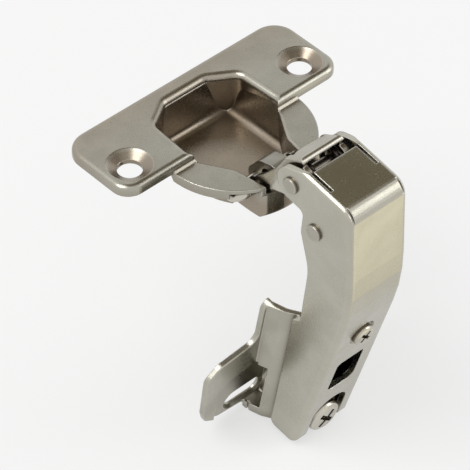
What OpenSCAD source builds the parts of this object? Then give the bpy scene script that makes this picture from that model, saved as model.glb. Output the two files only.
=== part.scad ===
// Concealed cup hinge for a folding corner door, pressed steel, slide-on arm.
// Frame: the cabinet side is the plane y = 0, +z runs up the arm to the cup, x is across the hinge.
// The origin lies on the cabinet side, half way between the two mounting slots.
// The cup's own pieces are drawn in the cup's frame, whose origin is the 35 mm bore's centre on the
// flange's top, with +z out of the flange and +y towards the arm. at_cup() places that frame.

/* [Cup] */
// Diameter of the drilled door bore that the cup fills
cup_d = 35; // [34.8:0.1:35.2]
// Depth of the cup below the flange's top
cup_depth = 11.3; // [11:0.1:12.5]
// Thickness of the cup's sheet
cup_sheet = 1; // [0.9:0.05:1.1]
// Length of the flange across the hinge
flange_l = 61; // [58:0.5:64]
// Distance from the bore's centre back to the flange's rear edge
flange_back = 20.4; // [19.6:0.1:22]
// Distance from the bore's centre to the front edge of the flange's wings
flange_front = 0.4; // [0.2:0.1:0.6]
// Height of the flange above the door, which its turned-down edge reaches
flange_h = 2.4; // [2.3:0.1:2.6]
// Distance between the two door screws
screw_spacing = 48; // [47:0.5:50]
// Distance of the door screws behind the bore's centre
screw_back = 6; // [5.5:0.1:6.5]
// Diameter of the door screw holes
screw_hole_d = 5.5; // [5:0.1:5.6]
// Diameter of the screw dimples at the flange's top
dimple_d = 10; // [9:0.5:10.5]
// Inner width of the wide rear pocket
pocket_w = 24.6; // [24:0.2:25]
// Distance from the bore's centre back to the pocket's rear wall
pocket_back = 15.7; // [15.4:0.1:15.8]
// Inner width of the narrow front box at its root
box_w = 14.4; // [14:0.1:14.6]
// Inner width of the narrow front box at its front wall
box_front_w = 11.9; // [11.9:0.1:13]

/* [Links] */
// Distance of the outer link's cup pivot in front of the bore's centre
outer_pivot_y = 12.95; // [12.9:0.01:13]
// Depth of the outer link's cup pivot below the flange's top
outer_pivot_drop = 4.62; // [4.6:0.01:4.66]
// Distance of the inner link's cup pivot in front of the bore's centre
inner_pivot_y = 9.21; // [9.15:0.01:9.25]
// Depth of the inner link's cup pivot below the flange's top
inner_pivot_drop = 6.74; // [6.7:0.01:6.8]
// Diameter of the staple wire that makes the two cup pivots
staple_d = 2.5; // [2.3:0.1:2.5]
// Outer width of the outer link
outer_link_w = 11.4; // [11.2:0.1:11.4]
// Sheet thickness of the outer link
outer_link_t = 1.3; // [1.2:0.1:1.3]
// Width of the inner link
inner_link_w = 4.4; // [4:0.2:4.4]
// Turn of the inner link's rear eye from the flange plane
inner_link_lean = 9.01; // [8.8:0.01:9.2]
// Distance between the inner link's two eyes
inner_link_l = 24.59; // [24.5:0.01:24.7]
// Diameter of the inner link's rear eye
inner_eye_d = 5.4; // [5.4:0.05:5.6]
// Diameter of the front rivet
front_rivet_d = 3; // [2.8:0.1:3]
// Diameter of the rear rivet
rear_rivet_d = 2.8; // [2.6:0.1:2.8]
// Diameter of the link spring's wire
spring_wire_d = 0.7; // [0.6:0.05:0.75]

/* [Arm] */
// Width of the arm
arm_w = 16; // [15.8:0.1:16.4]
// Sheet thickness of the arm
arm_sheet = 1.4; // [1.2:0.1:1.4]
// Height of the arm's top above the slot line
arm_top_z = 76; // [75.5:0.1:76.5]
// Reach of the arm from the cabinet side at its knee
arm_reach = 23; // [22.8:0.1:23.4]
// Height of the knee above the slot line
knee_z = 50; // [48:0.5:52]
// Lean of the arm's neck above the knee
neck_lean = 11.5; // [10:0.5:13]
// Lean of the arm's tail below the knee
tail_lean = 6.8; // [6.4:0.1:7]
// Height of the front rivet above the slot line
front_rivet_z = 70.09; // [70:0.01:70.2]
// Height of the rear rivet above the slot line
rear_rivet_z = 63.31; // [63.2:0.01:63.4]
// Height of the side screw above the slot line
side_screw_z = 35.2; // [34.5:0.1:36]

/* [Mounting plate] */
// Width over both wings
plate_w = 48; // [47.4:0.2:49]
// Sheet thickness of the plate
plate_sheet = 1.3; // [1.2:0.1:1.4]
// Height of the wings' top above the cabinet side
wing_h = 2.6; // [2.5:0.1:2.8]
// Distance between the centres of the two slots
slot_spacing = 20.3; // [20.2:0.1:21]
// End-to-end length of a slot
slot_l = 10; // [9.4:0.1:10.2]
// Width of a slot
slot_w = 4.4; // [4.2:0.1:4.5]
// Width of the bevelled screw seat around a slot
seat_w = 6; // [5.6:0.1:6.4]
// Height of the raised body above the cabinet side
body_h = 13.8; // [13.6:0.1:13.8]
// Width of the raised body
body_w = 12.6; // [12:0.1:12.8]

/* [Stance] */
// Tilt of the cup's flange from square to the cabinet side when the hinge is at its stop
closed_tilt = 10; // [9.9:0.1:10.1]
// Distance of the bore's centre in front of the cabinet side
cup_setback = 23.1; // [23:0.05:23.2]
// Height of the bore's centre above the slot line
cup_z = 60; // [59.9:0.05:60.1]

/* [Hidden] */
$fn = 48;
cup_r = cup_d / 2;
// Pivots: a and b in the cup's frame, c and d on the arm as [y, z]
pivot_a = [outer_pivot_y, -outer_pivot_drop];
pivot_b = [inner_pivot_y, -inner_pivot_drop];
rivet_c = [1.1, front_rivet_z];
rivet_d = [9.52, rear_rivet_z];
rivet_c_cup = to_cup(rivet_c);
outer_reach = norm(rivet_c_cup - pivot_a);
outer_lean = atan2(rivet_c_cup[1] - pivot_a[1], rivet_c_cup[0] - pivot_a[0]);
shoulder_z = -flange_h + 0.1;
rim_bottom = shoulder_z - 2.4;
front_wall_top = -4.3;
staple_r = staple_d / 2;
link_half = outer_link_w / 2;
link_inner = link_half - outer_link_t;
arm_half = arm_w / 2;
arm_inner = arm_half - arm_sheet;
coil_r = 2.9;
coil_x = 2.88;
coil_pitch = spring_wire_d + 0.03;
slot_x = slot_spacing / 2;
pad_y = body_h + 0.03;

// Round-cornered outlines: each point is [u, v, corner radius]
function unit(v) = v / norm(v);
function left_of(v) = [-v[1], v[0]];
function flat(p) = [p[0], p[1]];
function corner(a, b, c, r) = r <= 0 ? [flat(b)] :
    let (
        to_a = unit(flat(a) - flat(b)),
        to_c = unit(flat(c) - flat(b)),
        half = acos(max(-1, min(1, to_a * to_c))) / 2,
        middle = flat(b) + unit(to_a + to_c) * r / sin(half),
        first = flat(b) + to_a * r / tan(half) - middle,
        turn = 180 - 2 * half,
        way = cross(-to_a, to_c) > 0 ? 1 : -1,
        begin = atan2(first[1], first[0]),
        steps = max(2, ceil(turn / 9))
    )
    [for (k = [0 : steps]) middle + r * [cos(begin + way * turn * k / steps), sin(begin + way * turn * k / steps)]];
function loop_outline(p) = let (n = len(p))
    [for (i = [0 : n - 1]) each corner(p[(i + n - 1) % n], p[i], p[(i + 1) % n], p[i][2])];
function open_outline(p) = let (n = len(p))
    [for (i = [0 : n - 1]) each (i == 0 || i == n - 1) ? [flat(p[i])] : corner(p[i - 1], p[i], p[i + 1], p[i][2])];
// Moves a closed anticlockwise outline outwards by g and keeps its bends concentric
function grown(p, g) = let (n = len(p)) [for (i = [0 : n - 1])
    let (
        a = flat(p[(i + n - 1) % n]),
        b = flat(p[i]),
        c = flat(p[(i + 1) % n]),
        n1 = -left_of(unit(b - a)),
        n2 = -left_of(unit(c - b)),
        out = cross(b - a, c - b) > 0 ? 1 : -1,
        moved = b + g * (n1 + n2) / (1 + n1 * n2)
    )
    [moved[0], moved[1], p[i][2] > 0 ? max(0.05, p[i][2] + out * g) : 0]];
function mirrored(p) = [for (i = [len(p) - 1 : -1 : 0]) [-p[i][0], p[i][1], p[i][2]]];
// Left-hand mitre vectors along a chain of points
function mitres(p, closed) = let (n = len(p)) [for (i = [0 : n - 1])
    let (
        has_a = closed || i > 0,
        has_c = closed || i < n - 1,
        na = has_a ? left_of(unit(p[i] - p[(i + n - 1) % n])) : left_of(unit(p[i + 1] - p[i])),
        nc = has_c ? left_of(unit(p[(i + 1) % n] - p[i])) : na
    )
    (na + nc) / (1 + na * nc)];
// Turns a point of the arm's side view into the cup's frame
function to_cup(p) = let (y = p[0] + cup_setback, z = p[1] - cup_z)
    [y * cos(closed_tilt) + z * sin(closed_tilt), -y * sin(closed_tilt) + z * cos(closed_tilt)];

// Removes the sharp edge between a wall that follows the chain p, material on its left, and the top
module edge_cutter(p, r, top, closed = true) {
    side = mitres(p, closed);
    n = len(p);
    out = 0.5;
    section = concat([[-out, top + out], [r, top + out]],
        [for (k = [0 : 6]) [r - r * sin(15 * k), top - r + r * cos(15 * k)]], [[-out, top - r]]);
    m = len(section);
    points = [for (i = [0 : n - 1]) each [for (s = section) [p[i][0] + side[i][0] * s[0], p[i][1] + side[i][1] * s[0], s[1]]]];
    walls = [for (i = [0 : (closed ? n - 1 : n - 2)]) each [for (j = [0 : m - 1])
        [i * m + j, i * m + (j + 1) % m, ((i + 1) % n) * m + (j + 1) % m, ((i + 1) % n) * m + j]]];
    caps = closed ? [] : [[for (j = [m - 1 : -1 : 0]) j], [for (j = [0 : m - 1]) (n - 1) * m + j]];
    polyhedron(points, concat(walls, caps), convexity = 8);
}
// A side view drawn in [y, z], given a width from x0 to x1
module across(x0, x1) {
    rotate([90, 0, 90])
        translate([0, 0, x0])
            linear_extrude(x1 - x0)
                children();
}
// A front view drawn in [x, z], given a depth from y0 to y1
module deep(y0, y1) {
    translate([0, y1, 0])
        rotate([90, 0, 0])
            linear_extrude(y1 - y0)
                children();
}
module pin_x(p, r, x0, x1) {
    translate([x0, p[0], p[1]])
        rotate([0, 90, 0])
            cylinder(r = r, h = x1 - x0);
}
module ring_x(p, r_out, r_in, x0, x1) {
    difference() {
        pin_x(p, r_out, x0, x1);
        pin_x(p, r_in, x0 - 1, x1 + 1);
    }
}
module at_cup() {
    translate([0, -cup_setback, cup_z])
        rotate([closed_tilt, 0, 0])
            children();
}

// Cup
half_w = pocket_w / 2;
half_box = box_w / 2;
front_r = cup_r - cup_sheet;
box_corner = asin(box_front_w / 2 / front_r);
pocket_right = [[5.6, -pocket_back, 2.2], [half_w - 0.6, -11.8, 2.4], [half_w, -0.4, 4], [half_box, 8, 5],
    [box_front_w / 2, front_r * cos(box_corner), 0.9]];
pocket_front = [for (k = [1 : 5]) [front_r * sin(box_corner * (1 - k / 3)), front_r * cos(box_corner * (1 - k / 3)), 0]];
pocket_points = concat(pocket_right, pocket_front, mirrored(pocket_right));
flange_points = [[-flange_l / 2, -flange_back, 5.5], [flange_l / 2, -flange_back, 5.5],
    [flange_l / 2, flange_front, 4.2], [-flange_l / 2, flange_front, 4.2]];

// The wide pocket's walls lean in towards the floor by this much
draft = 1.8;
function wide_section(half, low, r) = [[half, 12, 0], [-half, 12, 0], [-half, -1, 0], [draft - half, low, r],
    [half - draft, low, r], [half, -1, 0]];
// The drawn pocket's solid form: g = 0 for the hollow, g = cup_sheet for the outside
module pocket_form(g) {
    floor_z = -cup_depth + cup_sheet - g;
    intersection() {
        translate([0, 0, floor_z])
            linear_extrude(20)
                polygon(loop_outline(grown(pocket_points, g)));
        rotate_extrude($fn = 96)
            polygon(open_outline([[0, floor_z, 0], [front_r + g, floor_z, 0.7 + g], [front_r + g, 12, 0], [0, 12, 0]]));
        union() {
            translate([0, 8.2, 0])
                rotate([90, 0, 0])
                    linear_extrude(30)
                        polygon(loop_outline(wide_section(half_w + g, floor_z, 2.2 + g)));
            translate([0, 20, 0])
                rotate([90, 0, 0])
                    linear_extrude(20)
                        polygon(loop_outline([[half_box + g, 12, 0], [-half_box - g, 12, 0],
                            [-half_box - g, floor_z, 1.2 + g], [half_box + g, floor_z, 1.2 + g]]));
        }
        across(-20, 20)
            polygon(loop_outline([[-pocket_back - g, -1, 0], [-pocket_back - g + draft, floor_z, 2 + g],
                [20, floor_z, 0], [20, 12, 0], [-pocket_back - g, 12, 0]]));
    }
}
module flange_block() {
    outline = loop_outline(flange_points);
    difference() {
        translate([0, 0, -flange_h])
            linear_extrude(flange_h)
                polygon(outline);
        edge_cutter(outline, 1.3, 0);
        translate([0, 0, -flange_h - 1])
            linear_extrude(flange_h + 1 - cup_sheet)
                polygon(loop_outline(grown(flange_points, -cup_sheet)));
    }
}
// The two low shoulders beside the front box, their rim skirt and the sloping step up to the flange
module shoulders() {
    difference() {
        union() {
            intersection() {
                translate([0, 0, rim_bottom])
                    cylinder(r = cup_r, h = shoulder_z - rim_bottom, $fn = 96);
                translate([-20, 1, -10])
                    cube([40, 20, 10]);
            }
            intersection() {
                across(-cup_r, cup_r)
                    polygon([[flange_front - 1, -1.2], [flange_front, -1.2], [flange_front, -1.8], [0.9, shoulder_z],
                        [2.1, shoulder_z], [2.1, rim_bottom], [flange_front - 0.2, rim_bottom], [flange_front - 1, -3.4]]);
                translate([0, 0, -10])
                    cylinder(r = cup_r, h = 20, $fn = 96);
            }
        }
        intersection() {
            translate([0, 0, -10])
                cylinder(r = cup_r - cup_sheet, h = 20, $fn = 96);
            across(-cup_r, cup_r)
                polygon([[-3, -10], [-3, -cup_sheet], [flange_front - 1, -cup_sheet],
                    [flange_front - 1, shoulder_z - cup_sheet], [20, shoulder_z - cup_sheet], [20, -10]]);
        }
    }
}
module cup() {
    pocket_loop = loop_outline(grown(pocket_points, 0));
    rim_loop = [for (i = [len(pocket_loop) - 1 : -1 : 0]) pocket_loop[i]];
    color([0.7, 0.69, 0.65])
        at_cup()
            difference() {
                union() {
                    flange_block();
                    shoulders();
                    intersection() {
                        pocket_form(cup_sheet);
                        across(-20, 20)
                            polygon([[-20, -20], [-20, -0.5], [-0.5, -0.5], [0.1, -1.3], [0.5, shoulder_z - 0.5],
                                [20, shoulder_z - 0.5], [20, -20]]);
                    }
                    for (s = [-1, 1])
                        translate([s * screw_spacing / 2, -screw_back, -flange_h])
                            cylinder(r1 = screw_hole_d / 2 + 1, r2 = dimple_d / 2 + 0.6, h = flange_h - 0.6);
                }
                pocket_form(0);
                edge_cutter(rim_loop, 1.5, 0);
                intersection() {
                    edge_cutter(rim_loop, 0.7, shoulder_z);
                    translate([-20, 1, -10])
                        cube([40, 20, 20]);
                }
                // The rim skirt stops beside the box, where the staple's bridge lies
                for (s = [-1, 1])
                    translate([s > 0 ? half_box + cup_sheet : -12.6, 8.4, rim_bottom - 1])
                        cube([12.6 - half_box - cup_sheet, 9, shoulder_z - cup_sheet - rim_bottom + 1]);
                for (s = [-1, 1])
                    translate([s > 0 ? 7.15 : -8.3, 14.2, rim_bottom - 1])
                        cube([1.15, 4, shoulder_z - cup_sheet - rim_bottom + 1]);
                // The links' gap in the front wall and rim
                translate([-6.3, 13.5, front_wall_top])
                    cube([12.6, 6, 10]);
                for (s = [-1, 1])
                    translate([s * screw_spacing / 2, -screw_back, 0]) {
                        translate([0, 0, -flange_h - 1])
                            cylinder(r = screw_hole_d / 2, h = 5);
                        translate([0, 0, -1.4])
                            cylinder(r1 = screw_hole_d / 2, r2 = dimple_d / 2 + 0.05, h = 1.43);
                    }
                for (p = [pivot_a, pivot_b])
                    pin_x(p, staple_r + 0.01, -9.5, 9.5);
            }
}
module cup_staple() {
    reach = norm(pivot_a - pivot_b) / 2;
    middle = (pivot_a + pivot_b) / 2;
    tilt = atan2(pivot_a[1] - pivot_b[1], pivot_a[0] - pivot_b[0]);
    color([0.78, 0.77, 0.74])
        at_cup() {
            for (p = [pivot_a, pivot_b])
                pin_x(p, staple_r, -half_box - cup_sheet - 0.4, half_box + cup_sheet + 0.4);
            translate([half_box + cup_sheet + 0.3, middle[0], middle[1]])
                rotate([tilt, 0, 0])
                    rotate([0, 0, -90])
                        rotate_extrude(angle = 180)
                            translate([reach, 0])
                                circle(r = staple_r - 0.03);
        }
}

// Outer link, drawn from pivot a with u along the line to the front rivet
web_rear = [15.3, 5.3];
web_front = [20.4, 4.45];
cheek_top = [[0.9, 2.2, 0], [4.2, 2.35, 3], [9.5, 3.2, 10], [web_rear[0], web_rear[1], 1.5], [web_front[0], web_front[1], 1]];
cheek_low = [[19.4, -1.5, 2], [16.3, -4, 3], [10, -3.1, 8], [5.2, -1.15, 3], [1.9, -1.1, 0], [-1, 0, 0]];
cheek_points = concat(cheek_low, cheek_top, [[20.2, 3.1, 0.2], [19.2, 2.3, 0.6]]);
module at_outer_link() {
    at_cup()
        translate([0, pivot_a[0], pivot_a[1]])
            rotate([outer_lean, 0, 0])
                children();
}
module outer_link() {
    web_lean = atan2(web_rear[1] - web_front[1], web_rear[0] - web_front[0]);
    color([0.85, 0.83, 0.76])
        at_outer_link()
            difference() {
                across(-link_half, link_half)
                    union() {
                        polygon(loop_outline([for (i = [len(cheek_points) - 1 : -1 : 0]) cheek_points[i]]));
                        circle(r = 2.4);
                        translate([outer_reach, 0])
                            circle(r = 4);
                    }
                // Room between the cheeks, under the bridging web
                across(-link_inner, link_inner)
                    polygon([[-5, -6], [24, -6], [24, 3.85 - outer_link_t], web_front - [0, outer_link_t],
                        web_rear - [0, outer_link_t], [14.9, 7], [-5, 7]]);
                // Bowed rear edge of the web
                difference() {
                    translate([-link_inner, 5, 0])
                        cube([2 * link_inner, 11.7, 8]);
                    translate([0, 24.4, 0])
                        cylinder(r = 9.2, h = 8);
                }
                // Bent edges beside the web
                for (s = [-1, 1])
                    translate([0, web_front[0], web_front[1]])
                        rotate([web_lean - 180, 0, 0])
                            difference() {
                                translate([s * link_half - 1.2, -12, -1.2])
                                    cube([2.4, 18, 2.4]);
                                translate([s * (link_half - 1.2), -13, -1.2])
                                    rotate([-90, 0, 0])
                                        cylinder(r = 1.2, h = 20);
                                translate([s > 0 ? -link_half : 0, -13, -3])
                                    cube([link_half - 1.2 + (s > 0 ? link_half : 0), 20, 6]);
                            }
                pin_x([0, 0], staple_r + 0.05, -10, 10);
                pin_x([outer_reach, 0], front_rivet_d / 2 + 0.05, -10, 10);
            }
}

// Inner link, drawn from pivot b with u along the line to the rear eye
hook_points = [[-2.3, 1.4, 0], [0, -1, 0], [1.9, 1.9, 0], [2.1, 3.3, 1.2], [5, 3.6, 1.5], [7.4, 2.15, 2], [9, 1.9, 2],
    [13, -1.6, 4], [19, -2.4, 4], [inner_link_l, -3.75, 0], [inner_link_l, 3.75, 0], [18.5, 2.5, 5], [12.5, 2.7, 5],
    [8, 4.6, 4], [5, 5.3, 2.5], [1.2, 4.9, 2.5]];
module inner_link() {
    color([0.6, 0.59, 0.55])
        at_cup()
            translate([0, pivot_b[0], pivot_b[1]])
                rotate([inner_link_lean, 0, 0])
                    difference() {
                        across(-inner_link_w / 2, inner_link_w / 2)
                            union() {
                                polygon(loop_outline(hook_points));
                                circle(r = 2.75);
                                translate([inner_link_l, 0])
                                    circle(r = 3.8);
                            }
                        pin_x([0, 0], staple_r + 0.05, -10, 10);
                        pin_x([inner_link_l, 0], inner_eye_d / 2, -10, 10);
                    }
}

// Rivets, washers, spacers and the link spring
module headed_rivet(p, r) {
    pin_x(p, r, -arm_half - 0.3, arm_half + 0.3);
    for (s = [-1, 1])
        translate([s * (arm_half + 0.02), p[0], p[1]])
            rotate([0, s * 90, 0])
                rotate_extrude()
                    polygon([[0, 0], [1.9, 0], [1.9, 0.5], [1.75, 0.65], [0, 0.65]]);
}
module front_rivet() {
    color([0.5, 0.49, 0.46])
        headed_rivet(rivet_c, front_rivet_d / 2);
}
module rear_rivet() {
    color([0.5, 0.49, 0.46])
        headed_rivet(rivet_d, rear_rivet_d / 2);
}
module front_washer(s) {
    color([0.2, 0.2, 0.2])
        ring_x(rivet_c, 2.9, front_rivet_d / 2 + 0.03, s > 0 ? link_half + 0.06 : -arm_inner + 0.04, s > 0 ? arm_inner - 0.04 : -link_half - 0.06);
}
module front_washer_left() {
    front_washer(-1);
}
module front_washer_right() {
    front_washer(1);
}
module rear_spacer(s) {
    x0 = inner_link_w / 2 + 0.12;
    color([0.2, 0.2, 0.2])
        ring_x(rivet_d, 2.6, rear_rivet_d / 2 + 0.03, s > 0 ? x0 : -arm_inner + 0.04, s > 0 ? arm_inner - 0.04 : -x0);
}
module rear_spacer_left() {
    rear_spacer(-1);
}
module rear_spacer_right() {
    rear_spacer(1);
}
// The wire's centre line in one half of the spring: a leg to the spacer, the coil, a leg under the web
function spring_path() = let (foot = 250, n = 36) concat(
    [[coil_x, 7.4, rivet_d[1] - rivet_c[1] + 3.05], [coil_x, coil_r * cos(foot) + 2.5, coil_r * sin(foot) + 0.1]],
    [for (k = [0 : n]) let (a = foot - 520 * k / n) [coil_x + coil_pitch * 520 / 360 * k / n, coil_r * cos(a), coil_r * sin(a)]],
    [[coil_x + coil_pitch * 520 / 360, 4.6, coil_r + 0.25], [coil_x + coil_pitch * 520 / 360, 8.4, coil_r + 0.3]]);
module wire(p, r) {
    n = len(p);
    m = 8;
    points = [for (i = [0 : n - 1])
        let (
            t = unit(p[min(i + 1, n - 1)] - p[max(i - 1, 0)]),
            side = unit([1, 0, 0] - t * t[0]),
            up = cross(t, side)
        )
        each [for (j = [0 : m - 1]) p[i] + r * (side * cos(360 * j / m) + up * sin(360 * j / m))]];
    walls = [for (i = [0 : n - 2]) each [for (j = [0 : m - 1]) [i * m + j, i * m + (j + 1) % m, (i + 1) * m + (j + 1) % m, (i + 1) * m + j]]];
    caps = [[for (j = [m - 1 : -1 : 0]) j], [for (j = [0 : m - 1]) (n - 1) * m + j]];
    polyhedron(points, concat([for (w = walls) [w[3], w[2], w[1], w[0]]], [for (c = caps) [for (j = [m - 1 : -1 : 0]) c[j]]]), convexity = 6);
}
module link_spring() {
    path = spring_path();
    last = path[len(path) - 1];
    color([0.16, 0.15, 0.14])
        translate([0, rivet_c[0], rivet_c[1]]) {
            for (s = [0, 1])
                mirror([s, 0, 0])
                    wire(path, spring_wire_d / 2);
            translate([-last[0], last[1] - 0.1, last[2]])
                rotate([0, 90, 0])
                    cylinder(r = spring_wire_d / 2, h = 2 * last[0]);
        }
}

// Arm: side view of its outer face from the tongue's tip over the neck and knee to the tail
neck_top_y = arm_reach - (arm_top_z - knee_z) * tan(neck_lean);
tail_end_z = -3.4;
tail_end_y = arm_reach - (knee_z - tail_end_z) * tan(tail_lean);
tongue_y = 4.4;
arm_back = [[3.8, arm_top_z, 0], [neck_top_y, arm_top_z, 4], [arm_reach, knee_z, 50], [tail_end_y, tail_end_z, 0]];
// The side wall's free edge, from the tail up to the front rivet and back along the top
arm_edge = [[tail_end_y, tail_end_z, 1.2], [15, -4.1, 1.5], [8.8, -4.4, 1.5], [8.8, 33.2, 0.8], [10.8, 34.7, 0.8],
    [10, 51.4, 12], [6, 60, 4], [5.6, 65.9, 1.5], [1.1, 65.9, 0], [1.1, 68, 0], [-0.67, 73.9, 0], [3.8, arm_top_z, 5]];
function web_y(z) = arm_reach - (knee_z - z) * tan(tail_lean);
module arm_side() {
    polygon(loop_outline(concat(arm_edge, [arm_back[1], arm_back[2]])));
    translate(rivet_c)
        circle(r = 4.2);
}
module slot_shape(half, z0, z1) {
    translate([0, z1])
        circle(r = half);
    translate([-half, z0])
        square([2 * half, z1 - z0]);
}
module arm() {
    back = open_outline([[arm_back[0][0] - 6, arm_top_z, 0], arm_back[1], arm_back[2], [tail_end_y - 3 * tan(tail_lean), tail_end_z - 3, 0]]);
    flipped = [for (i = [len(back) - 1 : -1 : 0]) back[i]];
    shift = mitres(back, false);
    color([0.69, 0.68, 0.63])
        difference() {
            union() {
                difference() {
                    across(-arm_half, arm_half)
                        arm_side();
                    // Hollow between the side walls, open in front of the tongue
                    across(-arm_inner, arm_inner)
                        polygon(concat([for (i = [0 : len(back) - 1]) back[i] + shift[i] * -arm_sheet], [[-12, -12], [-12, 40]]));
                    across(-arm_inner, arm_inner)
                        translate([tongue_y - 20, arm_top_z - 8])
                            square([20, 10]);
                    // Round bends between the web and the side walls
                    for (s = [0, 1])
                        mirror([s, 0, 0])
                            rotate([90, 0, 90])
                                edge_cutter(flipped, 1.4, arm_half, false);
                    // Open screw notch
                    deep(tail_end_y - 3, arm_reach)
                        slot_shape(4.8, tail_end_z - 2, 4);
                }
                // Sunken seat of the fixing screw
                across(-arm_inner, arm_inner)
                    polygon([[pad_y, tail_end_z + 0.1], [pad_y + arm_sheet, tail_end_z + 0.1], [pad_y + arm_sheet, 7.3],
                        [web_y(10) - 0.7, 10], [web_y(10) - 1.6, 11], [pad_y, 7.9]]);
            }
            deep(tail_end_y - 6, arm_reach)
                slot_shape(3, tail_end_z - 2, 1.6);
            // Slits that part the tongue from the side walls
            for (s = [-1, 1])
                translate([s * (arm_inner - 0.35) - 0.35, 0, arm_top_z - 8])
                    cube([0.7, 10.3, 12]);
            // Small relief marks where the fold meets the side walls
            for (s = [-1, 1])
                translate([s * (arm_inner + 0.3), neck_top_y - 0.78, arm_top_z - 0.95])
                    rotate([-39.3, 0, 0])
                        cube([0.5, 3.4, 1.1], center = true);
            // Rounded lower front edge of the tongue
            across(-arm_inner, arm_inner)
                difference() {
                    translate([tongue_y - 1, arm_top_z - arm_sheet - 1])
                        square([2.2, 2.3]);
                    translate([tongue_y + 1.2, arm_top_z - 0.1])
                        circle(r = 1.3);
                }
            // Window
            deep(10, 30)
                polygon(loop_outline([[-3.9, 14.4, 1.8], [3.9, 14.4, 1.8], [3.9, 25.6, 1.2], [-3.9, 25.6, 1.2]]));
            // Side screw's thread and its round recess
            translate([0, 0, side_screw_z])
                rotate([-90, 0, 0])
                    cylinder(r = 2.02, h = 30);
            translate([0, web_y(side_screw_z) - 0.55, side_screw_z])
                rotate([-90, 0, 0])
                    cylinder(r1 = 3, r2 = 4.4, h = 2);
            pin_x(rivet_c, front_rivet_d / 2 + 0.01, -10, 10);
            pin_x(rivet_d, rear_rivet_d / 2 + 0.01, -10, 10);
        }
}

// Screws with a cross recess
module cross_recess(l, w, h) {
    for (a = [45, 135])
        rotate([0, 0, a])
            translate([-l / 2, -w / 2, -h])
                cube([l, w, h + 1]);
}
module side_screw() {
    head_y = web_y(side_screw_z) - 0.52;
    color([0.45, 0.44, 0.4])
        translate([0, head_y, side_screw_z])
            rotate([-90, 0, 0])
                difference() {
                    union() {
                        rotate_extrude()
                            polygon([[0, 0], [2.6, 0], [2.6, 1.2], [2.4, 1.55], [1.7, 1.8], [0, 1.85]]);
                        translate([0, 0, body_h + 0.8 - head_y])
                            cylinder(r = 2, h = head_y - body_h - 0.8 + 0.1);
                        translate([0, 0, body_h - plate_sheet - 0.5 - head_y])
                            cylinder(r = 1.5, h = plate_sheet + 1.5);
                        translate([0, 0, body_h - plate_sheet - 1.6 - head_y])
                            cylinder(r = 2.9, h = 1.2);
                    }
                    translate([0, 0, 1.8])
                        cross_recess(3.3, 0.8, 1.3);
                }
}
module fixing_screw() {
    head_y = pad_y + arm_sheet + 0.03;
    color([0.72, 0.7, 0.64])
        translate([0, head_y, 0])
            rotate([-90, 0, 0])
                difference() {
                    union() {
                        rotate_extrude()
                            polygon([[0, 0], [4.1, 0], [4.1, 1.3], [3.85, 1.85], [3, 2.3], [0, 2.5]]);
                        translate([0, 0, 7.5 - head_y])
                            cylinder(r = 2.4, h = head_y - 7.5 + 0.1);
                    }
                    translate([0, 0, 2.5])
                        cross_recess(5.2, 1.2, 1.7);
                }
}

// Mounting plate
wing_right = [[4, 33, 0], [10.2, 33, 2.2], [10.3, 20.4, 3], [20.6, 19, 3], [plate_w / 2, 16.2, 2.5],
    [plate_w / 2 - 0.5, 4, 1.5], [22.6, 1, 1.5], [17.4, -2.7, 2], [9.7, -3.5, 0.6], [9.2, -5.2, 0.5], [4, -5.2, 0]];
wing_turned = [for (i = [len(wing_right) - 1 : -1 : 0]) wing_right[i]];
wing_points = concat(wing_turned, mirrored(wing_turned));
body_side = [[-1, -5.2, 0], [body_h, -5.2, 0.5], [body_h, 39.4, 1.5], [10.8, 35, 1.5], [9.4, 33, 0.8], [-1, 33, 0]];
// Outline of the sunken dish around a slot, open towards the plate's lower edge
dish_points = [[body_w / 2 - 1.6, -2.9, 0.6], [9.8, -2.9, 0], [9.8, -9, 0], [19.3, -9, 0], [19.3, 10.4, 2.5],
    [11, 11.3, 2], [body_w / 2 - 1.6, 12.8, 1]];
// Cross-section of the raised body in [x, y]: g = 0 outside, g = plate_sheet for the hollow
function body_section(g) = let (h = body_w / 2 - g, low = g > 0 ? -1 : wing_h - plate_sheet) [[h, body_h - g, 1.6 - g], [-h, body_h - g, 1.6 - g],
    [-h, 8.6, 1.5], [-h - 1.9, 6, 4], [-h - 3.2, wing_h, 0], [-h - 3.2, low, 0],
    [h + 3.2, low, 0], [h + 3.2, wing_h, 0], [h + 1.9, 6, 4], [h, 8.6, 1.5]];
module slot_prism(half, l, y0, y1) {
    deep(y0, y1)
        union() {
            for (s = [-1, 1])
                translate([s * (l / 2 - half), 0])
                    circle(r = half);
            translate([half - l / 2, -half])
                square([l - 2 * half, 2 * half]);
        }
}
module slot_funnel(low, high, y0, y1) {
    half_l = (slot_l - slot_w) / 2;
    for (s = [-1, 1])
        translate([s * half_l, y0, 0])
            rotate([-90, 0, 0])
                cylinder(r1 = low, r2 = high, h = y1 - y0);
    across(-half_l, half_l)
        polygon([[y0, -low], [y1, -high], [y1, high], [y0, low]]);
}
module wings() {
    outline = loop_outline(wing_points);
    difference() {
        deep(wing_h - plate_sheet, wing_h)
            polygon(outline);
        rotate([90, 0, 0])
            mirror([0, 0, 1])
                edge_cutter(outline, 0.3, wing_h);
    }
}
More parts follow.
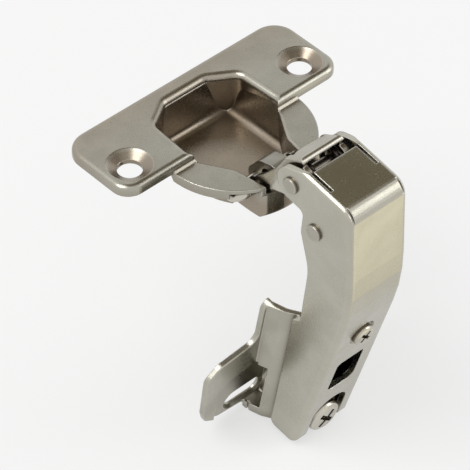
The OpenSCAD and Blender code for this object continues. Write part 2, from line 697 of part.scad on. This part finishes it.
// The dish's outline grown by g, on both wings, between two heights
module dishes(g, y0, y1) {
    for (s = [0, 1])
        mirror([s, 0, 0])
            deep(y0, y1)
                polygon(loop_outline(grown(dish_points, g)));
}
body_front = [[10.2, -6, 0], [10.2, 33, 2.2], [body_w / 2 + 0.1, 33, 0], [body_w / 2 + 0.1, 41, 0]];
module body_solid(g) {
    intersection() {
        translate([0, 0, -20])
            linear_extrude(80)
                polygon(loop_outline(body_section(g)));
        across(-20, 20)
            polygon(loop_outline([for (p = body_side) [p[0] - (p[0] == body_h ? g : 0), p[1] + (p[1] > 20 ? 12 : -12) * g, p[2]]]));
    }
}
module mounting_plate() {
    dish_loop = loop_outline(dish_points);
    dish_rim = [for (i = [len(dish_loop) - 1 : -1 : 0]) dish_loop[i]];
    color([0.68, 0.67, 0.62])
        difference() {
            union() {
                wings();
                intersection() {
                    body_solid(0);
                    deep(-1, 20)
                        polygon(loop_outline(concat(body_front, mirrored(body_front))));
                }
                // Narrow feet under the flanks
                for (s = [-1, 1])
                    translate([s > 0 ? body_w / 2 + 0.9 : -body_w / 2 - 2.3, 0, 13])
                        cube([1.4, wing_h, 14]);
                intersection() {
                    dishes(1.1, 0, wing_h - 0.4);
                    deep(-1, wing_h)
                        polygon(loop_outline(wing_points));
                }
            }
            dishes(0, plate_sheet, 5.3);
            // Rounded rim of the dish
            for (s = [0, 1])
                mirror([s, 0, 0])
                    intersection() {
                        rotate([90, 0, 0])
                            mirror([0, 0, 1])
                                edge_cutter(dish_rim, 0.8, wing_h);
                        deep(-1, wing_h + 0.6)
                            translate([9, -9])
                                square([20, 40]);
                    }
            difference() {
                body_solid(plate_sheet);
                for (s = [-1, 1])
                    translate([s > 0 ? body_w / 2 + 0.9 : -body_w / 2 - 2.3, -2, 13])
                        cube([1.4, 2 + wing_h - plate_sheet + 0.2, 14]);
                dishes(plate_sheet, -2, 5.3 + plate_sheet);
                // Threaded collar of the fixing screw
                translate([0, 10.4, 0])
                    rotate([-90, 0, 0])
                        cylinder(r = 4, h = 5);
            }
            translate([0, 5, 0])
                rotate([-90, 0, 0])
                    cylinder(r = 2.42, h = 12);
            // Keyhole slot that takes the side screw's collar
            deep(body_h - 5, body_h + 1)
                polygon([[-1.7, side_screw_z - 3.9], [1.7, side_screw_z - 3.9], [1.7, 50], [-1.7, 50]]);
            translate([-3.2, 10, side_screw_z - 3])
                cube([6.4, body_h - plate_sheet - 10, 11]);
            for (s = [-1, 1])
                translate([s * slot_x, 0, 0]) {
                    slot_prism(slot_w / 2, slot_l, -1, 3);
                    slot_funnel(slot_w / 2, seat_w / 2 + 0.05, plate_sheet - 0.7, plate_sheet + 0.05);
                }
            translate([-40, -5, -20])
                cube([80, 5, 80]);
        }
}

cup();
cup_staple();
outer_link();
inner_link();
front_rivet();
rear_rivet();
link_spring();
front_washer_left();
front_washer_right();
rear_spacer_left();
rear_spacer_right();
arm();
side_screw();
fixing_screw();
mounting_plate();
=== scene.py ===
# A concealed cup hinge in satin nickel: its finishes, the threads of its two screws,
# the studio around it, and the camera.
import math

import bpy
from mathutils import Matrix, Vector


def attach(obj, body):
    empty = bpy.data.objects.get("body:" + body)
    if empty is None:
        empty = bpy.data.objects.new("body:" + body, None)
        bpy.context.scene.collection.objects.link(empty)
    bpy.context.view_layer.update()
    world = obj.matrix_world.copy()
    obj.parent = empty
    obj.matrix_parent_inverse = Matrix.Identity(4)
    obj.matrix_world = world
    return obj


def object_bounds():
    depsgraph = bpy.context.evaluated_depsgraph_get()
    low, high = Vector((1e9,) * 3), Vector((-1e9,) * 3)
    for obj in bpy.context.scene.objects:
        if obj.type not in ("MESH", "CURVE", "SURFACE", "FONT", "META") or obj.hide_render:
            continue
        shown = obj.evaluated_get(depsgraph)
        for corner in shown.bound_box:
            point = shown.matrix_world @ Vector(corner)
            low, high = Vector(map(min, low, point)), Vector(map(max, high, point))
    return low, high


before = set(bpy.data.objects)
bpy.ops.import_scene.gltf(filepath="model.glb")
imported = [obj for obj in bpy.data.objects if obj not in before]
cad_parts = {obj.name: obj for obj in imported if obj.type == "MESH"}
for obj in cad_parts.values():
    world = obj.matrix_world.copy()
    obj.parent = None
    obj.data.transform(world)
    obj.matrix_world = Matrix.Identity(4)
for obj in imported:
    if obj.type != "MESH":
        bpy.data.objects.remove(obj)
cad_low, cad_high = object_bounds()
MM = 0.001

# ---------------------------------------------------------------- places on the hinge, in mm
FLANGE_TOP = 60.0            # height of the cup's flange
DOOR_SCREW = (24.0, -28.58)  # centre of a countersink, on both sides
FRONT_RIVET = (0, 1.1, 70.09)
REAR_RIVET = (0, 9.52, 63.31)
SIDE_SCREW = (0, 0, 35.2)
FIXING_SCREW = (0, 0, 0)
ACROSS = (0, 1, 1)           # the directions across a rivet's axis
AROUND_SCREW = (1, 0, 1)     # the directions across a screw's axis


def rgb(r, g, b):
    return (r, g, b, 1.0)


WHITE = rgb(1, 1, 1)
# painted shade: the brown-black that corners are darkened towards
CORNER_SHADE_TINT = rgb(0.10, 0.07, 0.045)
BARE_EDGE = rgb(0.78, 0.75, 0.68)
# painted shade: the brown tint that darkens the cup's pocket, box and countersinks
HOLLOW_SHADE_TINT = rgb(0.80, 0.70, 0.64)


# ---------------------------------------------------------------- camera
def set_camera(eye, aim, top, lens):
    """A camera at eye that looks at aim, with top pointing up in the picture."""
    data = bpy.data.cameras.new("hinge_camera")
    camera = bpy.data.objects.new("hinge_camera", data)
    bpy.context.scene.collection.objects.link(camera)
    back = (eye - aim).normalized()
    right = top.cross(back).normalized()
    turn = Matrix((right, back.cross(right), back)).transposed()
    camera.matrix_world = Matrix.Translation(eye) @ turn.to_4x4()
    data.sensor_width = 36
    data.lens = lens
    data.clip_start = 0.02
    data.clip_end = 20
    bpy.context.scene.camera = camera


set_camera(
    eye=Vector((331.82, 258.84, 561.3)) * MM,
    aim=Vector((7.033, -11.8, 40.0)) * MM,
    top=Vector((0, -0.1736, 0.9848)),
    lens=243.2,
)


# ---------------------------------------------------------------- node trees
class Nodes:
    """A node tree, built with one short call per node.

    A keyword of add names an input, with _ for a space, or gives its number as i0, i1 and so on.
    """

    def __init__(self, tree, kinds):
        self.tree = tree
        self.kinds = kinds

    def add(self, kind, settings=None, **sockets):
        node = self.tree.nodes.new(self.kinds + kind)
        for key, value in (settings or {}).items():
            setattr(node, key, value)
        for key, value in sockets.items():
            numbered = key[0] == "i" and key[1:].isdigit()
            self.plug(node.inputs[int(key[1:]) if numbered else key.replace("_", " ")], value)
        return node

    def plug(self, socket, value):
        if isinstance(value, bpy.types.NodeSocket):
            self.tree.links.new(value, socket)
        elif isinstance(value, bpy.types.Node):
            self.tree.links.new(value.outputs[0], socket)
        else:
            socket.default_value = value


class Painter(Nodes):
    """The nodes that colour a surface or the world."""

    def __init__(self, tree):
        super().__init__(tree, "ShaderNode")
        tree.nodes.clear()

    def math(self, operation, a, b=0.0, c=0.0, clamp=False):
        settings = {"operation": operation, "use_clamp": clamp}
        return self.add("Math", settings, i0=a, i1=b, i2=c).outputs[0]

    def vector(self, operation, a, b=(0, 0, 0)):
        """A vector from two, or a number for a length or a dot product."""
        found = self.add("VectorMath", {"operation": operation}, i0=a, i1=b).outputs
        return found["Value" if operation in ("LENGTH", "DOT_PRODUCT") else "Vector"]

    def between(self, value, low, high, to_low=0.0, to_high=1.0):
        return self.add("MapRange", {"clamp": True}, Value=value, From_Min=low, From_Max=high,
                        To_Min=to_low, To_Max=to_high).outputs[0]

    def blend(self, factor, a, b, mode="MIX"):
        node = self.add("Mix", {"data_type": "RGBA", "blend_type": mode}, i0=factor, i6=a, i7=b)
        return node.outputs[2]

    def noise(self, coords, size, detail=2.0, rough=0.5, warp=0.0):
        return self.add("TexNoise", Vector=coords, Scale=1 / size, Detail=detail, Roughness=rough,
                        Distortion=warp).outputs[0]

    def here(self):
        """The place on the piece."""
        return self.add("TexCoord").outputs["Object"]


class Finish(Painter):
    """A material."""

    def __init__(self, name):
        self.material = bpy.data.materials.new(name)
        self.material.use_nodes = True
        super().__init__(self.material.node_tree)

    def show(self, surface):
        self.add("OutputMaterial", Surface=surface)
        return self.material

    def skin(self, metallic, colour, shine, bump):
        return self.show(self.add("BsdfPrincipled", Base_Color=colour, Metallic=metallic,
                                  Roughness=shine, Normal=bump.outputs[0]))


# ---------------------------------------------------------------- finishes
def turning_marks(s, here, cloud, centre, across):
    """Fine rings round a lathe-turned piece's axis, a little wavy."""
    mark_width = 0.22 * MM
    offset = s.vector("MULTIPLY", s.vector("SUBTRACT", here, Vector(centre) * MM), across)
    ring = s.math("MULTIPLY", s.vector("LENGTH", offset), 2 * math.pi / mark_width)
    wobble = s.math("MULTIPLY", cloud, 9.0)
    return s.math("MULTIPLY_ADD", s.math("SINE", s.math("ADD", ring, wobble)), 0.5, 0.5)


def metal(name, tone, stain, rough, mottle=9.0, grain=0.25, grain_depth=0.5, brush=None,
          worn=0.35, corner_shade_depth=0.5, reach=3.5, turned=None, shade_in_hollows=None):
    """A plated or polished metal finish.

    tone and stain are its main and its duller colour, mottle the size in mm of its cloudy patches,
    grain the size of its fine grain, brush the direction of its brushing, worn how bare its edges
    are, soot how much painted shade darkens the corners and reach how far from them, turned the
    axis of a lathe-turned piece as (centre in mm, directions across it), and hollows a function
    that takes the place and gives how much painted shade browns and darkens the plating there.
    """
    speck, edge, mark_depth = 0.9 * MM, 0.35 * MM, 0.012 * MM
    s = Finish(name)
    here = s.here()
    cloud = s.noise(here, mottle * MM, 4, 0.55, 0.4)
    fine = s.noise(here, grain * MM, 3, 0.6)
    pits = s.between(s.noise(here, speck, 2, 0.7), 0.66, 0.74)
    streaks = None
    if brush:
        along = s.add("Mapping", {"vector_type": "POINT"}, Vector=here, Scale=brush)
        streaks = s.noise(along.outputs[0], 0.2 * MM, 3, 0.6)
    if turned:
        streaks = turning_marks(s, here, cloud, *turned)

    # worn edges, where a rounded normal leaves the true one, and painted shade in the corners
    rounded = s.add("Bevel", {"samples": 6}, Radius=edge)
    agree = s.vector("DOT_PRODUCT", rounded.outputs[0], s.add("NewGeometry").outputs["Normal"])
    rub = s.between(s.math("MULTIPLY_ADD", cloud, -0.03, agree), 0.985, 0.90)
    # painted shade: corners darkened by ambient occlusion, towards a brown-black tint
    nook = s.add("AmbientOcclusion", {"samples": 6}, Distance=reach * MM).outputs["AO"]
    corner_shade = s.between(s.math("MULTIPLY_ADD", cloud, 0.3, nook), 1.0, 0.6, 0.0, corner_shade_depth)

    colour = s.blend(s.between(cloud, 0.36, 0.66), tone, stain)
    colour = s.blend(s.math("MULTIPLY", pits, 0.25), colour, stain)
    if shade_in_hollows:
        # painted shade in the hollows, browner and darker
        hollow_shade = s.math("MULTIPLY", shade_in_hollows(s, here), s.between(cloud, 0.3, 0.7, 1.0, 0.75))
        colour = s.blend(hollow_shade, colour, HOLLOW_SHADE_TINT, "MULTIPLY")
    colour = s.blend(corner_shade, colour, CORNER_SHADE_TINT)
    colour = s.blend(s.math("MULTIPLY", rub, worn), colour, BARE_EDGE)

    shine = s.between(cloud, 0.3, 0.7, rough - 0.04, rough + 0.05)
    shine = s.math("MULTIPLY_ADD", fine, 0.10, s.math("ADD", shine, -0.05))
    shine = s.math("MULTIPLY_ADD", pits, 0.10, shine)
    shine = s.math("MULTIPLY_ADD", rub, -0.10, shine)
    shine = s.math("MULTIPLY_ADD", corner_shade, 0.12, shine, clamp=True)
    relief = s.math("MULTIPLY_ADD", pits, -0.6, fine)
    if streaks is not None:
        shine = s.math("MULTIPLY_ADD", streaks, 0.08, s.math("ADD", shine, -0.04), clamp=True)
        relief = s.math("MULTIPLY_ADD", streaks, 0.3, relief)
    bump = s.add("Bump", Strength=grain_depth, Distance=mark_depth, Height=relief,
                 Normal=rounded.outputs[0])
    return s.skin(1.0, colour, shine, bump)


def cup_shade_in_hollows(s, here):
    """The cup's drawn pocket and box, and its two countersinks, where painted shade makes the
    plating browner and darker.
    """
    pocket_starts, pocket_full = (FLANGE_TOP - 1.2) * MM, (FLANGE_TOP - 4.8) * MM
    sink_rim, sink_full = 5.2 * MM, 4.4 * MM
    place = s.add("SeparateXYZ", i0=here).outputs
    pocket = s.between(place["Z"], pocket_starts, pocket_full)
    aside = s.math("SUBTRACT", s.math("ABSOLUTE", place["X"]), DOOR_SCREW[0] * MM)
    behind = s.math("SUBTRACT", place["Y"], DOOR_SCREW[1] * MM)
    from_screw = s.vector("LENGTH", s.add("CombineXYZ", X=aside, Y=behind))
    return s.math("MAXIMUM", pocket, s.between(from_screw, sink_rim, sink_full))


def nylon(name, tone, dull):
    """Moulded nylon of the washers and spacers."""
    s = Finish(name)
    here = s.here()
    cloud = s.noise(here, 1.5 * MM, 3, 0.6)
    grain = s.noise(here, 0.12 * MM, 2, 0.6)
    colour = s.blend(s.between(cloud, 0.35, 0.7), tone, dull)
    shine = s.between(grain, 0.3, 0.7, 0.42, 0.6)
    bump = s.add("Bump", Strength=0.5, Distance=0.01 * MM, Height=grain)
    return s.skin(0.0, colour, shine, bump)


cup_nickel = metal(
    "cup_satin_nickel", rgb(0.40, 0.385, 0.33), rgb(0.355, 0.34, 0.29), 0.26,
    mottle=7, corner_shade_depth=0.72, reach=7, shade_in_hollows=cup_shade_in_hollows)
arm_nickel = metal(
    "arm_satin_nickel", rgb(0.47, 0.455, 0.39), rgb(0.43, 0.415, 0.35), 0.25,
    brush=(1, 1, 0.05))
plate_nickel = metal(
    "plate_tumbled_nickel", rgb(0.44, 0.425, 0.365), rgb(0.38, 0.365, 0.31), 0.30,
    grain=0.35, grain_depth=0.7)
link_nickel = metal(
    "link_bright_nickel", rgb(0.50, 0.48, 0.42), rgb(0.43, 0.41, 0.355), 0.22,
    brush=(0.05, 1, 1), corner_shade_depth=0.9, reach=4)
# painted shade: the inner link's nickel is darker than the outer link's, for the shade in the gap
# between the links
inner_link_nickel = metal(
    "inner_link_worn_nickel", rgb(0.33, 0.315, 0.27), rgb(0.25, 0.24, 0.205), 0.32,
    worn=0.25)
# blued spring steel, made darker still with painted shade for the gap under the link web
spring_steel = metal(
    "spring_blued_wire", rgb(0.055, 0.05, 0.05), rgb(0.03, 0.027, 0.025), 0.38,
    mottle=2, worn=0.04)
staple_nickel = metal(
    "staple_bright_wire", rgb(0.60, 0.57, 0.50), rgb(0.50, 0.47, 0.41), 0.20,
    brush=(0.05, 1, 1))
front_rivet_steel = metal(
    "front_rivet_turned", rgb(0.42, 0.40, 0.345), rgb(0.33, 0.31, 0.265), 0.28,
    turned=(FRONT_RIVET, ACROSS))
rear_rivet_steel = metal(
    "rear_rivet_turned", rgb(0.42, 0.40, 0.345), rgb(0.33, 0.31, 0.265), 0.28,
    turned=(REAR_RIVET, ACROSS))
side_screw_nickel = metal(
    "side_screw_turned", rgb(0.50, 0.475, 0.41), rgb(0.36, 0.34, 0.29), 0.24,
    turned=(SIDE_SCREW, AROUND_SCREW))
fixing_screw_nickel = metal(
    "fixing_screw_turned", rgb(0.58, 0.555, 0.49), rgb(0.45, 0.425, 0.37), 0.22,
    turned=(FIXING_SCREW, AROUND_SCREW))
washer_nylon = nylon(
    "washer_dark_nylon", rgb(0.045, 0.043, 0.04), rgb(0.025, 0.024, 0.022))

FINISHES = {
    "cup": cup_nickel,
    "cup_staple": staple_nickel,
    "outer_link": link_nickel,
    "inner_link": inner_link_nickel,
    "front_rivet": front_rivet_steel,
    "rear_rivet": rear_rivet_steel,
    "link_spring": spring_steel,
    "front_washer_left": washer_nylon,
    "front_washer_right": washer_nylon,
    "rear_spacer_left": washer_nylon,
    "rear_spacer_right": washer_nylon,
    "arm": arm_nickel,
    "side_screw": side_screw_nickel,
    "fixing_screw": fixing_screw_nickel,
    "mounting_plate": plate_nickel,
}
for node_name, finish in FINISHES.items():
    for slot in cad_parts[node_name].material_slots:
        slot.material = finish


# ---------------------------------------------------------------- screw threads
class Shaper(Nodes):
    """A Geometry Nodes tree with named inputs for its sizes, in metres."""

    def __init__(self, name, sizes):
        super().__init__(bpy.data.node_groups.new(name, "GeometryNodeTree"), "")
        sockets = self.tree.interface
        sockets.new_socket("Geometry", in_out="INPUT", socket_type="NodeSocketGeometry")
        for size in sizes:
            sockets.new_socket(size, in_out="INPUT", socket_type="NodeSocketFloat")
        sockets.new_socket("Geometry", in_out="OUTPUT", socket_type="NodeSocketGeometry")
        self.inputs = self.add("NodeGroupInput").outputs

    def end(self, mesh, material):
        real = self.add("GeometryNodeRealizeInstances", Geometry=mesh)
        done = self.add("GeometryNodeSetMaterial", Geometry=real, Material=material)
        self.add("NodeGroupOutput", i0=done)
        return self.tree


def thread_tree(material):
    """A screw thread: a ridge that winds round a shank and rises along z."""
    crest_past_ridge = 1.15
    s = Shaper("screw_thread", ("Shank Radius", "Ridge", "Pitch", "Length"))
    radius, ridge, pitch, length = list(s.inputs)[1:5]
    turns = s.add("ShaderNodeMath", {"operation": "DIVIDE"}, i0=length, i1=pitch)
    path = s.add("GeometryNodeCurveSpiral", Resolution=36, Rotations=turns,
                 Start_Radius=radius, End_Radius=radius, Height=length)
    crest = s.add("ShaderNodeMath", {"operation": "MULTIPLY"}, i0=ridge, i1=crest_past_ridge)
    profile = s.add("GeometryNodeCurvePrimitiveCircle", {"mode": "RADIUS"}, Resolution=4,
                    Radius=crest)
    wound = s.add("GeometryNodeCurveToMesh", Curve=path, Profile_Curve=profile, Fill_Caps=True)
    return s.end(wound, material)


def wind_thread(screw, material, start, sizes):
    """Winds a thread of these sizes in mm from start along y, to turn with its screw."""
    tree = thread_tree(material)
    name = screw + "_thread"
    seed = bpy.data.objects.new(name + "_seed", bpy.data.meshes.new(name + "_seed"))
    bpy.context.scene.collection.objects.link(seed)
    modifier = seed.modifiers.new("shape", "NODES")
    modifier.node_group = tree
    for item in tree.interface.items_tree:
        if item.in_out == "INPUT" and item.name in sizes:
            modifier[item.identifier] = sizes[item.name] * MM
    seed.update_tag()
    graph = bpy.context.evaluated_depsgraph_get()
    mesh = bpy.data.meshes.new_from_object(seed.evaluated_get(graph), depsgraph=graph)
    bpy.data.objects.remove(seed)
    lay_along_y = Matrix.Rotation(math.radians(-90), 4, "X")
    mesh.transform(Matrix.Translation(Vector(start) * MM) @ lay_along_y)
    mesh.name = name
    piece = bpy.data.objects.new(name, mesh)
    bpy.context.scene.collection.objects.link(piece)
    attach(piece, screw)


wind_thread("fixing_screw", fixing_screw_nickel, (0, 7.7, 0),
            {"Shank Radius": 2.35, "Ridge": 0.22, "Pitch": 0.7, "Length": 2.2})
wind_thread("side_screw", side_screw_nickel, (0, 14.9, 35.2),
            {"Shank Radius": 1.95, "Ridge": 0.2, "Pitch": 0.7, "Length": 4.4})


# ---------------------------------------------------------------- floor, lamps, background
def seen_white(s):
    """1 for camera, mirror and glass rays, and 0 for the light that falls on the object."""
    path = s.add("LightPath").outputs
    seen = s.math("MAXIMUM", path["Is Camera Ray"], path["Is Glossy Ray"])
    return s.math("MAXIMUM", seen, path["Is Transmission Ray"])


def white_world(fill):
    """A world that looks white and lights the hinge from all round at fill."""
    world = bpy.data.worlds.new("studio")
    bpy.context.scene.world = world
    world.use_nodes = True
    s = Painter(world.node_tree)
    light = s.add("Background", Color=WHITE, Strength=fill)
    shown = s.add("Background", Color=WHITE, Strength=1.0)
    s.add("OutputWorld", i0=s.add("MixShader", i0=seen_white(s), i1=light, i2=shown))


def flat_piece(name, corners, material):
    """One flat face that belongs to the studio."""
    mesh = bpy.data.meshes.new(name)
    mesh.from_pydata(corners, [], [tuple(range(len(corners)))])
    mesh.materials.append(material)
    piece = bpy.data.objects.new(name, mesh)
    bpy.context.scene.collection.objects.link(piece)
    return piece


def pale_floor(height, white_share, reach=2.5):
    """A white table that keeps the hinge's shadow."""
    s = Finish("white_table")
    flat = s.add("BsdfDiffuse", Color=rgb(0.88, 0.88, 0.87))
    glow = s.add("Emission", Color=WHITE, Strength=1.0)
    share = s.math("MULTIPLY", seen_white(s), white_share)
    paint = s.show(s.add("MixShader", i0=share, i1=flat, i2=glow))
    corners = [(-reach, -reach, height), (reach, -reach, height),
               (reach, reach, height), (-reach, reach, height)]
    flat_piece("floor", corners, paint)


def softbox(name, place, aim, size, power):
    data = bpy.data.lights.new(name, "AREA")
    data.shape = "RECTANGLE"
    data.size, data.size_y = size
    data.energy = power
    lamp = bpy.data.objects.new(name, data)
    lamp.location = place
    lamp.rotation_mode = "QUATERNION"
    lamp.rotation_quaternion = (Vector(place) - Vector(aim)).to_track_quat("Z", "Y")
    bpy.context.scene.collection.objects.link(lamp)


def side_card(name, corners, glow, fade=None):
    """A plain card out of the picture, which only the metal's sheen shows.

    fade gives two places along y in mm, between which its glow grows from dim to all of it.
    """
    dim = 0.66
    s = Finish(name + "_paint")
    strength = 1.0
    if fade:
        along = s.add("SeparateXYZ", i0=s.here()).outputs["Y"]
        strength = s.between(along, fade[0] * MM, fade[1] * MM, dim, 1.0)
    paint = s.show(s.add("Emission", Color=glow, Strength=strength))
    card = flat_piece(name, [Vector(corner) * MM for corner in corners], paint)
    card.visible_camera = False
    card.visible_diffuse = False
    card.visible_shadow = False


MIDDLE = (0, 0, 0.035)
UNDER_THE_PLATE = 0.0004

white_world(0.55)
pale_floor(cad_low.z - UNDER_THE_PLATE, 0.6)
softbox("key_lamp", (0.45, -0.25, 0.75), MIDDLE, (0.5, 0.5), 3.2)
softbox("side_lamp", (-0.5, 0.35, 0.35), MIDDLE, (0.35, 0.5), 1.2)
side_card(
    "ceiling_card",
    [(-330, -190, 300), (-200, -330, 380), (40, -200, 380), (60, -20, 300), (-90, 40, 230),
     (-260, -20, 230)],
    rgb(0.21, 0.18, 0.12),
)
side_card(
    "cream_card",
    [(0, 62, -5), (0, 220, -5), (-190, 220, -5), (-150, 62, -5)],
    rgb(1.42, 1.36, 1.16),
    fade=(62, 112),
)

bpy.context.scene.view_settings.view_transform = "Standard"
